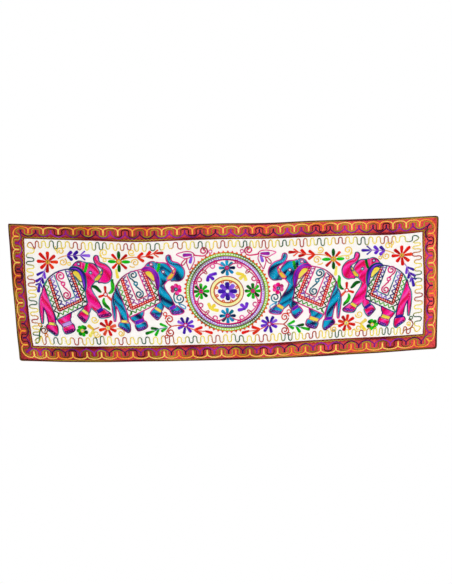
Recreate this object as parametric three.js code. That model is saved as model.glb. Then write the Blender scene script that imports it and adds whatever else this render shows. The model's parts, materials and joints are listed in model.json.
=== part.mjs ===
// An embroidered wall tapestry: a long cream cotton panel with four maroon border strips sewn
// round it, mitred at the corners, each with its outer edge turned to the back as a hem.
// It hangs from its top edge, flat against a wall, in soft upright folds.
//
// Millimetres, +Z up. X runs across the cloth, -Y faces the viewer and +Y the wall.
// The origin is the middle of the top edge, on the face that meets the wall.

import * as THREE from "three";

// Driving sizes.
const CUT_WIDTH = 1520; // finished width, as cut and hemmed
const CUT_HEIGHT = 488; // finished height
const BORDER = 54; // nominal width of a border strip
const PANEL_THICKNESS = 1.6; // cream cotton with its embroidery
const STRIP_THICKNESS = 1.4; // border cloth
const HEM_THICKNESS = 2.4; // border cloth with its edge turned under
const HEM_WIDTH = 12;
const HEM_STEP = 1; // how fast the hem's fold falls away
const SEAM_GAP = 0.3; // between any two pieces
const SHEET_COLUMN = 30; // mesh step across the cloth
const SHEET_ROW = 32; // mesh step down the cloth

// The hung outline, in sections across the cloth from its left edge to its right.
// top is the height of the top edge above the origin, drop is the cloth's height there, and
// the last two columns are the widths of the border strips above and below the panel.
const SECTIONS_ACROSS = [
  { top: -1.5, drop: 492.5, topBorder: 53, bottomBorder: 55.2 },
  { top: -5.7, drop: 493, topBorder: 53, bottomBorder: 56.5 },
  { top: -6.3, drop: 492.7, topBorder: 57.5, bottomBorder: 57 },
  { top: -6.9, drop: 490, topBorder: 61, bottomBorder: 56.5 },
  { top: -3.8, drop: 490.8, topBorder: 58.5, bottomBorder: 57.2 },
  { top: 0, drop: 491.3, topBorder: 57.5, bottomBorder: 57.7 },
  { top: 1.3, drop: 488.4, topBorder: 57.5, bottomBorder: 56.7 },
  { top: 8.7, drop: 488.4, topBorder: 58.3, bottomBorder: 59.3 },
  { top: 14.2, drop: 485.2, topBorder: 58.5, bottomBorder: 59.2 },
  { top: 19, drop: 480.8, topBorder: 60.5, bottomBorder: 57 },
  { top: 26.8, drop: 478, topBorder: 54.5, bottomBorder: 56.3 },
];

// The same in sections down the cloth: where each side edge hangs, and the strips beside it.
const SECTIONS_DOWN = [
  { left: -772.2, right: 773.9, leftBorder: 56.2, rightBorder: 58 },
  { left: -764.8, right: 771.4, leftBorder: 52.8, rightBorder: 56.3 },
  { left: -757.8, right: 771, leftBorder: 49.8, rightBorder: 52 },
  { left: -747.8, right: 770.6, leftBorder: 48.6, rightBorder: 50.6 },
  { left: -739, right: 767.9, leftBorder: 51.8, rightBorder: 49.9 },
  { left: -728.8, right: 765.8, leftBorder: 56.5, rightBorder: 53.4 },
];

// Soft upright folds. at is the crest's place across the cloth as a share of its width, width
// is the fold's full width, and the two depths are how far it stands off the wall at the top
// edge and at the foot. lean moves the crest across between top and foot.
const FOLDS = [
  { at: 0.0, width: 260, depthAtTop: 3, depthAtFoot: 12, lean: 0 },
  { at: 0.19, width: 230, depthAtTop: 3.5, depthAtFoot: 8, lean: 14 },
  { at: 0.35, width: 180, depthAtTop: 2, depthAtFoot: 6, lean: -10 },
  { at: 0.57, width: 210, depthAtTop: 2.5, depthAtFoot: 9, lean: 12 },
  { at: 0.72, width: 170, depthAtTop: 2, depthAtFoot: 6, lean: 8 },
  { at: 0.86, width: 190, depthAtTop: 3, depthAtFoot: 8.5, lean: -12 },
  { at: 1.0, width: 220, depthAtTop: 3, depthAtFoot: 11, lean: 0 },
];

// The cloth's four outer corners are turned a little round.
const CORNER_RADII = { topLeft: 4, topRight: 9, bottomLeft: 9, bottomRight: 10 };

const { lerp, clamp } = THREE.MathUtils;

// Reads one column of a table of evenly spaced sections, as a smooth curve through them.
function smoothColumn(table, column) {
  const values = table.map((row) => row[column]);
  return (share) => {
    const place = clamp(share, 0, 1) * (values.length - 1);
    const index = Math.min(Math.floor(place), values.length - 2);
    const before = values[Math.max(index - 1, 0)];
    const after = values[Math.min(index + 2, values.length - 1)];
    const start = values[index];
    const end = values[index + 1];
    const t = place - index;
    const bend = 2 * before - 5 * start + 4 * end - after;
    const twist = 3 * (start - end) + after - before;
    return start + 0.5 * t * (end - before + t * (bend + t * twist));
  };
}

const topEdge = smoothColumn(SECTIONS_ACROSS, "top");
const drop = smoothColumn(SECTIONS_ACROSS, "drop");
const topBorder = smoothColumn(SECTIONS_ACROSS, "topBorder");
const bottomBorder = smoothColumn(SECTIONS_ACROSS, "bottomBorder");
const leftEdge = smoothColumn(SECTIONS_DOWN, "left");
const rightEdge = smoothColumn(SECTIONS_DOWN, "right");
const leftBorder = smoothColumn(SECTIONS_DOWN, "leftBorder");
const rightBorder = smoothColumn(SECTIONS_DOWN, "rightBorder");

// Where a place along a cut size hangs, between the outer edge, the two seams and the far edge.
function betweenSeams(place, cutSize, nearEdge, nearSeam, farSeam, farEdge) {
  if (place < BORDER) return lerp(nearEdge, nearSeam, place / BORDER);
  if (place > cutSize - BORDER) return lerp(farEdge, farSeam, (cutSize - place) / BORDER);
  return lerp(nearSeam, farSeam, (place - BORDER) / (cutSize - 2 * BORDER));
}

// How far the folds hold the cloth off the wall, as a sum of cosine ridges.
function standOff(shareAcross, shareDown) {
  return FOLDS.reduce((sum, fold) => {
    const crest = fold.at * CUT_WIDTH + fold.lean * shareDown;
    const away = Math.min(Math.abs(shareAcross * CUT_WIDTH - crest) / (fold.width / 2), 1);
    const depth = lerp(fold.depthAtTop, fold.depthAtFoot, shareDown);
    return sum + depth * 0.5 * (1 + Math.cos(Math.PI * away));
  }, 0);
}

// Pulls a place near an outer corner of the cut cloth in to that corner's arc.
function roundCorner(across, down) {
  const onLeft = across < CUT_WIDTH / 2;
  const onTop = down < CUT_HEIGHT / 2;
  const corner = (onTop ? "top" : "bottom") + (onLeft ? "Left" : "Right");
  const radius = CORNER_RADII[corner];
  const inAcross = radius - (onLeft ? across : CUT_WIDTH - across);
  const inDown = radius - (onTop ? down : CUT_HEIGHT - down);
  if (inAcross <= 0 || inDown <= 0) return { across, down };
  const pull = 1 - Math.max(inAcross, inDown) / Math.hypot(inAcross, inDown);
  return {
    across: across + (onLeft ? 1 : -1) * inAcross * pull,
    down: down + (onTop ? 1 : -1) * inDown * pull,
  };
}

// The front face of the hung cloth at a place on the cut cloth, which is measured from the
// top left corner, across and down.
function hang(cutAcross, cutDown) {
  const { across, down } = roundCorner(cutAcross, cutDown);
  const shareAcross = across / CUT_WIDTH;
  const shareDown = down / CUT_HEIGHT;
  const left = leftEdge(shareDown);
  const right = rightEdge(shareDown);
  const top = topEdge(shareAcross);
  const bottom = top - drop(shareAcross);
  return new THREE.Vector3(
    betweenSeams(
      across,
      CUT_WIDTH,
      left,
      left + leftBorder(shareDown),
      right - rightBorder(shareDown),
      right,
    ),
    -HEM_THICKNESS - standOff(shareAcross, shareDown),
    betweenSeams(
      down,
      CUT_HEIGHT,
      top,
      top - topBorder(shareAcross),
      bottom + bottomBorder(shareAcross),
      bottom,
    ),
  );
}

// The same place on the back face, a thickness behind the front along the cloth's normal.
function hangBack(cutAcross, cutDown, thickness) {
  const step = 1;
  const front = hang(cutAcross, cutDown);
  const alongAcross = hang(cutAcross + step, cutDown).sub(hang(cutAcross - step, cutDown));
  const alongDown = hang(cutAcross, cutDown + step).sub(hang(cutAcross, cutDown - step));
  const towardsWall = alongDown.cross(alongAcross).normalize();
  if (towardsWall.y < 0) towardsWall.negate();
  return front.addScaledVector(towardsWall, thickness);
}

// One closed sheet. columns and rows list where its mesh lines lie, and place gives the cut
// cloth's across, down and thickness for one column and row.
function clothSheet(columns, rows, place) {
  const sheet = new THREE.BoxGeometry(1, 1, 1, columns.length - 1, rows.length - 1, 1);
  const points = sheet.getAttribute("position");
  for (let i = 0; i < points.count; i += 1) {
    const column = columns[Math.round((points.getX(i) + 0.5) * (columns.length - 1))];
    const row = rows[Math.round((0.5 - points.getY(i)) * (rows.length - 1))];
    const { across, down, thickness } = place(column, row);
    const onFront = points.getZ(i) > 0;
    const point = onFront ? hang(across, down) : hangBack(across, down, thickness);
    points.setXYZ(i, point.x, point.y, point.z);
  }
  sheet.computeVertexNormals();
  return sheet;
}

// Evenly spaced places from start to end, about a given step apart.
function evenly(start, end, step) {
  const count = Math.max(1, Math.round((end - start) / step));
  return Array.from({ length: count + 1 }, (_, i) => lerp(start, end, i / count));
}

// Shares along a strip, with a few more near its ends for the rounded corners.
function stripColumns(length) {
  const corner = Math.max(...Object.values(CORNER_RADII)) / length;
  const ends = [0, corner * 0.3, corner * 0.65];
  const middle = evenly(corner, 1 - corner, SHEET_COLUMN / length);
  return [...ends, ...middle, ...ends.map((share) => 1 - share).reverse()];
}

// Depths in from a strip's outer edge: the edge, the hem's fold and step, the body, the seam.
const STRIP_DEPTHS = [
  0,
  CORNER_RADII.topLeft,
  HEM_WIDTH,
  HEM_WIDTH + HEM_STEP,
  (HEM_WIDTH + BORDER) / 2,
  BORDER - SEAM_GAP / 2,
];
const MITRE_INSET = SEAM_GAP * Math.SQRT1_2; // half the gap, measured along the strip

// A mitred border strip: its ends step in by as much as its depth, so its corners meet at 45
// degrees. side turns a share along the strip and a depth into a place on the cut cloth.
function borderStrip(length, side) {
  return clothSheet(stripColumns(length), STRIP_DEPTHS, (share, depth) => {
    const inset = depth + MITRE_INSET;
    const along = lerp(inset, length - inset, share);
    const thickness = depth <= HEM_WIDTH ? HEM_THICKNESS : STRIP_THICKNESS;
    return { ...side(along, depth), thickness };
  });
}

const STRIPS = [
  {
    name: "border_top",
    length: CUT_WIDTH,
    side: (along, depth) => ({ across: along, down: depth }),
  },
  {
    name: "border_right",
    length: CUT_HEIGHT,
    side: (along, depth) => ({ across: CUT_WIDTH - depth, down: along }),
  },
  {
    name: "border_bottom",
    length: CUT_WIDTH,
    side: (along, depth) => ({ across: CUT_WIDTH - along, down: CUT_HEIGHT - depth }),
  },
  {
    name: "border_left",
    length: CUT_HEIGHT,
    side: (along, depth) => ({ across: depth, down: CUT_HEIGHT - along }),
  },
];

function centrePanel() {
  const seam = BORDER + SEAM_GAP / 2;
  return clothSheet(
    evenly(seam, CUT_WIDTH - seam, SHEET_COLUMN),
    evenly(seam, CUT_HEIGHT - seam, SHEET_ROW),
    (across, down) => ({ across, down, thickness: PANEL_THICKNESS }),
  );
}

const creamCotton = new THREE.MeshStandardMaterial({
  color: 0xf6efe2,
  roughness: 0.92,
  metalness: 0,
});
const maroonCloth = new THREE.MeshStandardMaterial({
  color: 0xa3243a,
  roughness: 0.7,
  metalness: 0,
});

function piece(name, geometry, material) {
  const mesh = new THREE.Mesh(geometry, material);
  mesh.name = name;
  return mesh;
}

const tapestry = new THREE.Group();
tapestry.add(piece("centre_panel", centrePanel(), creamCotton));
for (const { name, length, side } of STRIPS) {
  tapestry.add(piece(name, borderStrip(length, side), maroonCloth));
}

export default tapestry;
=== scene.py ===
"""An embroidered wall tapestry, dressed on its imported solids.

Four elephants and a round medallion, worked in chain stitch on a cream cotton panel, with four
maroon strips sewn round it. The layout is a traditional one. Every motif is drawn here from its
own few sizes: bands along short centrelines, petals, spirals, waves and arcs.

Meshes are in metres. Places on the cloth are in millimetres on the flat cut cloth, across from
its left edge and down from its top edge, and hang() takes such a place to where the cloth hangs.
"""
import json
import math

import bpy
import numpy as np
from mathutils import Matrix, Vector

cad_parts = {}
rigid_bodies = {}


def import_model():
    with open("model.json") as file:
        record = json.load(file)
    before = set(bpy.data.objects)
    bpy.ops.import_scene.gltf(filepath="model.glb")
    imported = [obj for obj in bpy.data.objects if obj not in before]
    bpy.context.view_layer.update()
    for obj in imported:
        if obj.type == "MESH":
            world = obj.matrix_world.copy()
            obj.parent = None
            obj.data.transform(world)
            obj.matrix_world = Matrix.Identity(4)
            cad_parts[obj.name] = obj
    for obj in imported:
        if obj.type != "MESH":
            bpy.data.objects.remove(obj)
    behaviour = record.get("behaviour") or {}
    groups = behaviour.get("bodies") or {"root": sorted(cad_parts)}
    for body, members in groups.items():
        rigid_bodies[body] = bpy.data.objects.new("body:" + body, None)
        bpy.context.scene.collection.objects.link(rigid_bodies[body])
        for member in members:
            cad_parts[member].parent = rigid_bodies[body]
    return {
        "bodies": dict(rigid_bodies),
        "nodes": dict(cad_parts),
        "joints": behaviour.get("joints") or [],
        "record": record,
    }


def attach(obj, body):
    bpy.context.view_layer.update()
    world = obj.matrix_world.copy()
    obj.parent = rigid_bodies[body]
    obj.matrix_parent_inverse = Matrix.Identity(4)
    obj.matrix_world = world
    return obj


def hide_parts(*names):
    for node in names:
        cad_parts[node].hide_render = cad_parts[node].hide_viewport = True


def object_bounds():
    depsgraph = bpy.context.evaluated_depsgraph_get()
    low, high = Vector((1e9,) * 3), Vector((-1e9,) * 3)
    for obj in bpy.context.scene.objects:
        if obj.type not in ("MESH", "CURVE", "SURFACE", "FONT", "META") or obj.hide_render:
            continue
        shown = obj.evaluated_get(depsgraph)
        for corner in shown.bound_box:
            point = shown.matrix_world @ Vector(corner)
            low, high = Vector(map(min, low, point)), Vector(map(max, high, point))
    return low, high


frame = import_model()
cad_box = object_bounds()

# The cut cloth, in millimetres.
CUT_WIDTH = 1520.0
CUT_HEIGHT = 488.0
BORDER = 54.0
SEAM_HALF = 0.02
PANEL_THICKNESS = 1.6
STRIP_THICKNESS = 1.4
HEM_THICKNESS = 2.4
HEM_WIDTH = 12.0
HEM_FALL = (HEM_WIDTH - 0.6, HEM_WIDTH + 0.4)
MM = 0.001

# The hung outline, in even sections across the cloth. The columns are the height of the top
# edge, the drop below it, and the widths of the strips above and below the panel.
SECTIONS_ACROSS = np.array([
    (-1.5, 492.5, 53, 55.2),
    (-5.7, 493, 53, 56.5),
    (-6.3, 492.7, 57.5, 57),
    (-6.9, 490, 61, 56.5),
    (-3.8, 490.8, 58.5, 57.2),
    (0, 491.3, 57.5, 57.7),
    (1.3, 488.4, 57.5, 56.7),
    (8.7, 488.4, 58.3, 59.3),
    (14.2, 485.2, 58.5, 59.2),
    (19, 480.8, 60.5, 57),
    (26.8, 478, 54.5, 56.3),
])

# The same down the cloth. The columns are the left edge, the right edge and the strips there.
SECTIONS_DOWN = np.array([
    (-772.2, 773.9, 56.2, 58),
    (-764.8, 771.4, 52.8, 56.3),
    (-757.8, 771, 49.8, 52),
    (-747.8, 770.6, 48.6, 50.6),
    (-739, 767.9, 51.8, 49.9),
    (-728.8, 765.8, 56.5, 53.4),
])

# Soft upright folds. The columns are the crest's share of the width, the fold's full width, its
# depth at the top edge and at the foot, and how far it leans across on the way down.
FOLDS = np.array([
    (0.0, 260, 3, 12, 0),
    (0.19, 230, 3.5, 8, 14),
    (0.35, 180, 2, 6, -10),
    (0.57, 210, 2.5, 9, 12),
    (0.72, 170, 2, 6, 8),
    (0.86, 190, 3, 8.5, -12),
    (1.0, 220, 3, 11, 0),
])

# The radius of each corner: top left, top right, bottom left, bottom right.
CORNER_RADII = (4, 9, 9, 10)

# The height of the cloth's small unevenness between its folds.
CRUMPLE = 0.16


# The hung cloth

def smooth_columns(table, share):
    """The table's columns at a share of the way down it, on a Catmull-Rom curve through the rows."""
    last = len(table) - 1
    place = np.clip(share, 0, 1) * last
    row = np.minimum(np.floor(place).astype(int), last - 1)
    t = (place - row)[..., None]
    before, start, end, after = (table[np.clip(row + step, 0, last)] for step in (-1, 0, 1, 2))
    bend = 2 * before - 5 * start + 4 * end - after
    twist = 3 * (start - end) + after - before
    value = start + 0.5 * t * (end - before + t * (bend + t * twist))
    return np.moveaxis(value, -1, 0)


def between_seams(place, size, near_edge, near_seam, far_seam, far_edge):
    """Straight from each edge to its seam and from seam to seam, by the place on the cut cloth."""
    near = near_edge + (near_seam - near_edge) * place / BORDER
    far = far_edge + (far_seam - far_edge) * (size - place) / BORDER
    middle = near_seam + (far_seam - near_seam) * (place - BORDER) / (size - 2 * BORDER)
    return np.where(place < BORDER, near, np.where(place > size - BORDER, far, middle))


def round_corners(across, down):
    """Places within a corner's square are drawn in along their ray to its quarter circle."""
    at_right = across > CUT_WIDTH / 2
    at_foot = down > CUT_HEIGHT / 2
    radius = np.choose(at_right + 2 * at_foot, CORNER_RADII)
    in_across = radius - np.where(at_right, CUT_WIDTH - across, across)
    in_down = radius - np.where(at_foot, CUT_HEIGHT - down, down)
    reach = np.maximum(np.hypot(in_across, in_down), 1e-9)
    pull = np.where((in_across > 0) & (in_down > 0), 1 - np.maximum(in_across, in_down) / reach, 0)
    across = across + np.where(at_right, -1, 1) * in_across * pull
    down = down + np.where(at_foot, -1, 1) * in_down * pull
    return across, down


def hang(across, down):
    """Where a place of the cut cloth hangs, on its front face, in millimetres. Sideways and
    upright places come from the outline tables. The folds stand off as cosine ridges, and a
    product of two uneven sines crumples the cloth a little."""
    across, down = round_corners(np.asarray(across, float), np.asarray(down, float))
    share_across = across / CUT_WIDTH
    share_down = down / CUT_HEIGHT
    left, right, left_strip, right_strip = smooth_columns(SECTIONS_DOWN, share_down)
    top, drop, top_strip, foot_strip = smooth_columns(SECTIONS_ACROSS, share_across)
    x = between_seams(across, CUT_WIDTH, left, left + left_strip, right - right_strip, right)
    z = between_seams(down, CUT_HEIGHT, top, top - top_strip, top - drop + foot_strip, top - drop)
    stand_off = 0.0
    for at, width, depth_at_top, depth_at_foot, lean in FOLDS:
        away = np.abs(across - at * CUT_WIDTH - lean * share_down) / (width / 2)
        depth = depth_at_top + (depth_at_foot - depth_at_top) * share_down
        stand_off = stand_off + depth * 0.5 * (1 + np.cos(np.pi * np.minimum(away, 1)))
    crumple = CRUMPLE * np.sin(across / 19 + 1.7 * np.sin(down / 37)) * np.sin(down / 23 + across / 71)
    return np.stack([x, -HEM_THICKNESS - stand_off - crumple, z], axis=-1)


def on_cloth(across, down, lift):
    """The point `lift` millimetres in front of the cloth's face at a place, in metres."""
    step = 1.0
    here = hang(across, down)
    along = hang(across + step, down) - hang(across - step, down)
    below = hang(across, down + step) - hang(across, down - step)
    normal = np.cross(below, along)
    normal /= np.linalg.norm(normal, axis=-1, keepdims=True)
    return (here + normal * np.asarray(lift)[..., None]) * MM


# Meshes

def add_piece(name, points, faces, material, uv, colours=None, crease=None):
    """One object at the origin from arrays: points, then groups of faces with as many corners
    each, a place on the UV map for every point, and a thread colour for every point."""
    mesh = bpy.data.meshes.new(name)
    corners = np.concatenate([group.ravel() for group in faces])
    sizes = np.concatenate([np.full(len(group), group.shape[1]) for group in faces])
    mesh.vertices.add(len(points))
    mesh.vertices.foreach_set("co", points.ravel())
    mesh.loops.add(len(corners))
    mesh.loops.foreach_set("vertex_index", corners)
    mesh.polygons.add(len(sizes))
    mesh.polygons.foreach_set("loop_start", np.concatenate([[0], np.cumsum(sizes)[:-1]]))
    mesh.polygons.foreach_set("use_smooth", np.ones(len(sizes), bool))
    mesh.update(calc_edges=True)
    mesh.uv_layers.new(name="cloth").data.foreach_set("uv", uv[corners].ravel())
    if colours is not None:
        shades = np.concatenate([colours, np.ones((len(colours), 1))], axis=1)
        mesh.color_attributes.new("thread", "FLOAT_COLOR", "POINT").data.foreach_set("color", shades.ravel())
    if crease:
        mesh.set_sharp_from_angle(angle=math.radians(crease))
    mesh.materials.append(material)
    piece = bpy.data.objects.new(name, mesh)
    bpy.context.scene.collection.objects.link(piece)
    return piece


def grid_faces(rows, columns, first=0):
    """The four-cornered faces of a grid of points counted row by row."""
    corner = first + np.arange(rows - 1)[:, None] * columns + np.arange(columns - 1)
    return np.stack([corner, corner + 1, corner + columns + 1, corner + columns], -1).reshape(-1, 4)


def cloth_sheet(name, across, down, front, back, material):
    """A thin closed sheet: the grid of places once at the front lift and once at the back lift,
    with a rim of faces round the edge."""
    rows, columns = across.shape
    count = rows * columns
    points = np.concatenate([
        on_cloth(across, down, front).reshape(-1, 3),
        on_cloth(across, down, back).reshape(-1, 3),
    ])
    uv = np.tile(np.stack([across, down], -1).reshape(-1, 2), (2, 1)) * MM
    index = np.arange(count).reshape(rows, columns)
    edge = np.concatenate([index[0, :-1], index[:-1, -1], index[-1, :0:-1], index[:0:-1, 0]])
    following = np.roll(edge, -1)
    rim = np.stack([edge, edge + count, following + count, following], -1)
    face = grid_faces(rows, columns)
    return add_piece(name, points, [face[:, ::-1], face + count, rim[:, ::-1]], material, uv, crease=50)


# Materials

def linear(code):
    """A colour written as six hex digits, in linear light."""
    shade = np.array([int(code[place:place + 2], 16) for place in (0, 2, 4)]) / 255
    return np.where(shade <= 0.04045, shade / 12.92, ((shade + 0.055) / 1.055) ** 2.4)


class Wire:
    """One socket of a tree of nodes. Arithmetic on wires adds Math nodes."""

    def __init__(self, tree, socket=None):
        self.tree = tree
        self.socket = socket

    def node(self, kind, settings=None, inputs=None, output=0):
        """Any node: its type, its settings, then the values or wires of its sockets."""
        node = self.tree.nodes.new(kind)
        for name, value in (settings or {}).items():
            setattr(node, name, value)
        for name, value in (inputs or {}).items():
            if isinstance(value, Wire):
                self.tree.links.new(value.socket, node.inputs[name])
            else:
                node.inputs[name].default_value = value
        return Wire(self.tree, node.outputs[output])

    def maths(self, operation, *values):
        """A Math node of values and wires."""
        return self.node("ShaderNodeMath", {"operation": operation}, dict(enumerate(values)))

    def mixed(self, share, one, two, way="MIX"):
        """One colour blended with another by a share."""
        settings = {"data_type": "RGBA", "blend_type": way}
        return self.node("ShaderNodeMix", settings, {"Factor": share, 6: one, 7: two}, output=2)

    def sine(self):
        """The sine of this wire's value."""
        return self.maths("SINE", self)

    def __add__(self, other):
        return self.maths("ADD", self, other)

    def __sub__(self, other):
        return self.maths("SUBTRACT", self, other)

    def __rsub__(self, other):
        return self.maths("SUBTRACT", other, self)

    def __mul__(self, other):
        return self.maths("MULTIPLY", self, other)

    __radd__ = __add__
    __rmul__ = __mul__


class Finish(Wire):
    """A material: its Principled shader, with constants set on the shader's own sockets."""

    def __init__(self, name, **constants):
        self.material = bpy.data.materials.new(name)
        self.material.use_nodes = True
        self.shader = self.material.node_tree.nodes["Principled BSDF"]
        super().__init__(self.material.node_tree)
        for socket, value in constants.items():
            self.shader.inputs[socket.replace("_", " ")].default_value = value

    def places(self):
        """Millimetres across and down the cut cloth, or along and across a thread."""
        place = self.node("ShaderNodeUVMap", {"uv_map": "cloth"})
        return [self.node("ShaderNodeSeparateXYZ", None, {0: place}, output=part) * 1000 for part in (0, 1)]

    def noise(self, across, down, size, detail=3.0):
        """Soft noise whose blotches are `size` = (across, down) millimetres."""
        place = self.node("ShaderNodeCombineXYZ", None, {0: across * (1 / size[0]), 1: down * (1 / size[1])})
        return self.node("ShaderNodeTexNoise", None, {"Vector": place, "Scale": 1.0, "Detail": detail})

    def connect(self, socket, wire):
        """Feeds one of the shader's sockets."""
        self.tree.links.new(wire.socket, self.shader.inputs[socket])

    def bump(self, height, strength, distance):
        """Raises the surface in shading by a height."""
        inputs = {"Height": height, "Strength": strength, "Distance": distance}
        self.connect("Normal", self.node("ShaderNodeBump", None, inputs))


def woven_cloth(name, light, dark, pitch, roughness, painted_edge_shade=0.0, **constants):
    """Plain-woven cloth. The weave is a chequer of two sines, long thin noise is its uneven yarn,
    and broad noise its tone. These turn the light shade to the dark one, and so does a painted
    shade, at the strength given for it, over a strip's last few millimetres towards its outer edge
    and towards its seam."""
    weave_turn, yarn_turn, tone_turn, from_light = 0.06, 0.75, 0.9, 0.25
    yarn_middle, tone_middle, strip_middle = 0.62, 0.5, 24.0
    finish = Finish(name, **constants)
    across, down = finish.places()
    turn = 2 * math.pi / pitch
    weave = (across * turn).sine() * (down * turn).sine()
    yarn = finish.noise(across, down, (60, 1.2)) + finish.noise(across, down, (1.2, 60))
    tone = finish.noise(across, down, (190, 120), 5.0)
    sizes = (across, CUT_WIDTH), (down, CUT_HEIGHT)
    insets = [place.maths("MINIMUM", place, size - place) for place, size in sizes]
    # A mask for painted shade, rising over a strip's last few millimetres towards its outer edge and towards
    # its seam.
    aside = finish.maths("ABSOLUTE", finish.maths("MINIMUM", *insets) - strip_middle)
    edge_shade_mask = finish.node("ShaderNodeMapRange", None, {0: aside, "From Min": 16.0, "From Max": 23.0})
    share = (yarn - yarn_middle) * yarn_turn + (tone - tone_middle) * tone_turn + edge_shade_mask * painted_edge_shade
    light, dark = ((*linear(code), 1) for code in (light, dark))
    finish.connect("Base Color", finish.mixed(share + from_light + weave * weave_turn, light, dark))
    finish.connect("Roughness", roughness + (yarn - 1.0) * 0.12)
    finish.bump(weave + yarn * 1.4, strength=0.5, distance=0.00022)
    return finish.material


def silk_thread(name):
    """Glossy embroidery thread. Its colour comes from the thread attribute, with painted shade
    between the plies, which are a sine of the place across the thread less the place along it."""
    painted_ply_shade = (0.9, 0.88, 0.91, 1)
    finish = Finish(name, Metallic=0.25, Specular_IOR_Level=0.12)
    along, side = finish.places()
    plies = (side.maths("ABSOLUTE", side) * 7 - along * 4.3).sine()
    own = finish.node("ShaderNodeAttribute", {"attribute_name": "thread"})
    # Painted shade between the plies darkens the thread's own colour.
    finish.connect("Base Color", finish.mixed(plies * 0.5 + 0.5, own, painted_ply_shade, "MULTIPLY"))
    finish.connect("Roughness", 0.52 - plies * 0.06)
    finish.bump(plies, strength=0.5, distance=0.0001)
    return finish.material


CREAM_COTTON = woven_cloth("cream_cotton", light="f9f6f3", dark="f1ebe6", pitch=0.9, roughness=0.9,
                           Sheen_Weight=0.15)
# The maroon strips get painted shade towards their outer edges and their seams.
MAROON_CLOTH = woven_cloth("maroon_cloth", light="cc4642", dark="820c1c", pitch=0.55, roughness=0.42,
                           painted_edge_shade=0.5, Metallic=0.7, Specular_IOR_Level=0.3)
THREAD = silk_thread("embroidery_thread")


# Lines on the flat cloth

def curve(points, closed=False, steps=10):
    """A smooth line through a few points: each span between two is a Catmull-Rom cubic."""
    points = np.asarray(points, float)
    if closed:
        points = np.concatenate([points[-1:], points, points[:2]])
    else:
        points = np.concatenate([2 * points[:1] - points[1:2], points, 2 * points[-1:] - points[-2:-1]])
    before, start, end, after = points[:-3, None], points[1:-2, None], points[2:-1, None], points[3:, None]
    t = (np.arange(steps) / steps)[:, None]
    bend = 2 * before - 5 * start + 4 * end - after
    twist = 3 * (start - end) + after - before
    line = start + 0.5 * t * (end - before + t * (bend + t * twist))
    return np.concatenate([line.reshape(-1, points.shape[1]), points[-2:-1]])


def straight(*corners, step=1.0):
    """A line from corner to corner, with points about a step apart, in millimetres."""
    corners = np.asarray(corners, float)
    spans = zip(corners[:-1], corners[1:])
    lines = [np.linspace(a, b, max(3, int(np.hypot(*(b - a)) / step) + 1)) for a, b in spans]
    return np.concatenate(lines)


def about(centre, radius, angle):
    """The points at a radius and angles about a centre."""
    return np.stack([centre[0] + radius * np.cos(angle), centre[1] + radius * np.sin(angle)], -1)


def arc(centre, radius, start, end):
    """An arc about a centre from one angle to another, in degrees, clockwise from the right."""
    return about(centre, radius, np.radians(np.linspace(start, end, max(8, int(abs(end - start) / 8)))))


def ring(centre, radius):
    """A whole circle."""
    return arc(centre, radius, 0, 360)


def spiral(centre, outer, inner, start, turns):
    """A coil from its outer radius to its inner one, with the radius falling evenly."""
    share = np.linspace(0, 1, int(abs(turns) * 30) + 2)
    return about(centre, outer + (inner - outer) * share, np.radians(start + 360 * turns * share))


def normals(path):
    """The unit normals of a line, from its neighbours' difference."""
    along = np.gradient(path, axis=0)
    along /= np.maximum(np.hypot(along[:, 0], along[:, 1]), 1e-9)[:, None]
    return np.stack([-along[:, 1], along[:, 0]], -1)


def travelled(path):
    """The length of a line up to each of its points."""
    return np.concatenate([[0], np.cumsum(np.hypot(*np.diff(path[:, :2], axis=0).T))])


def along_line(at, run, columns):
    """A line's columns at some runs along it, straight between its points."""
    return np.column_stack([np.interp(at, run, column) for column in columns.T])


def zigzag(path, pitch, reach):
    """The corners of a line that swings `reach` to each side of a path, every half pitch."""
    run = travelled(path)
    turns = max(2, round(run[-1] / pitch * 2))
    at = np.linspace(0, run[-1], turns + 1)
    swing = np.where(np.arange(turns + 1) % 2, reach, -reach)[:, None]
    return along_line(at, run, path) + along_line(at, run, normals(path)) * swing


def inside(points, outline):
    """Which points lie in a closed outline: those with an odd number of edges to their right."""
    x, y = points[:, :1], points[:, 1:2]
    start, end = outline, np.roll(outline, -1, axis=0)
    spans = (start[:, 1] > y) != (end[:, 1] > y)
    rise = np.where(np.abs(end[:, 1] - start[:, 1]) < 1e-9, 1e-9, end[:, 1] - start[:, 1])
    crossing = start[:, 0] + (y - start[:, 1]) / rise * (end[:, 0] - start[:, 0])
    return (spans & (x < crossing)).sum(axis=1) % 2 == 1


def runs_where(line, wanted):
    """The unbroken runs of a line's points that are wanted."""
    cuts = np.flatnonzero(np.diff(wanted)) + 1
    runs = zip(np.split(line, cuts), np.split(wanted, cuts))
    return [run for run, is_wanted in runs if is_wanted[0]]


def kept(line, outlines, grown=False):
    """The runs of a line that lie outside every one of the outlines. Grown ones are one point
    longer at both ends."""
    clear = np.ones(len(line), bool)
    for outline in outlines:
        clear &= ~inside(line, outline)
    if grown:
        clear = clear | np.append(clear[1:], False) | np.append(False, clear[:-1])
    return [run for run in runs_where(line, clear) if len(run) > 2 + grown]


# A row of stitches is a little wider than the step to the next one, so that they close up.
ROW_COVER = 1.25


class Band:
    """A long shape along a centreline. Each point has its place and the half width there."""

    def __init__(self, points):
        self.spine = curve(points)
        self.side = normals(self.spine[:, :2])

    def rail(self, share):
        """The centreline moved sideways by a share of the half width."""
        return self.spine[:, :2] + self.side * self.spine[:, 2:3] * share

    def outline(self):
        """Up one rail and down the other."""
        return np.concatenate([self.rail(-1), self.rail(1)[::-1]])

    def rows(self, pitch):
        """Rows side by side along the band, each as wide as its share of the band."""
        count = max(1, round(2 * self.spine[:, 2].max() / pitch))
        shares = (np.arange(count) + 0.5) / count * 2 - 1
        width = ROW_COVER * 2 * self.spine[:, 2:3] / count
        return [np.concatenate([self.rail(share), width], axis=1) for share in shares]


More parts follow.
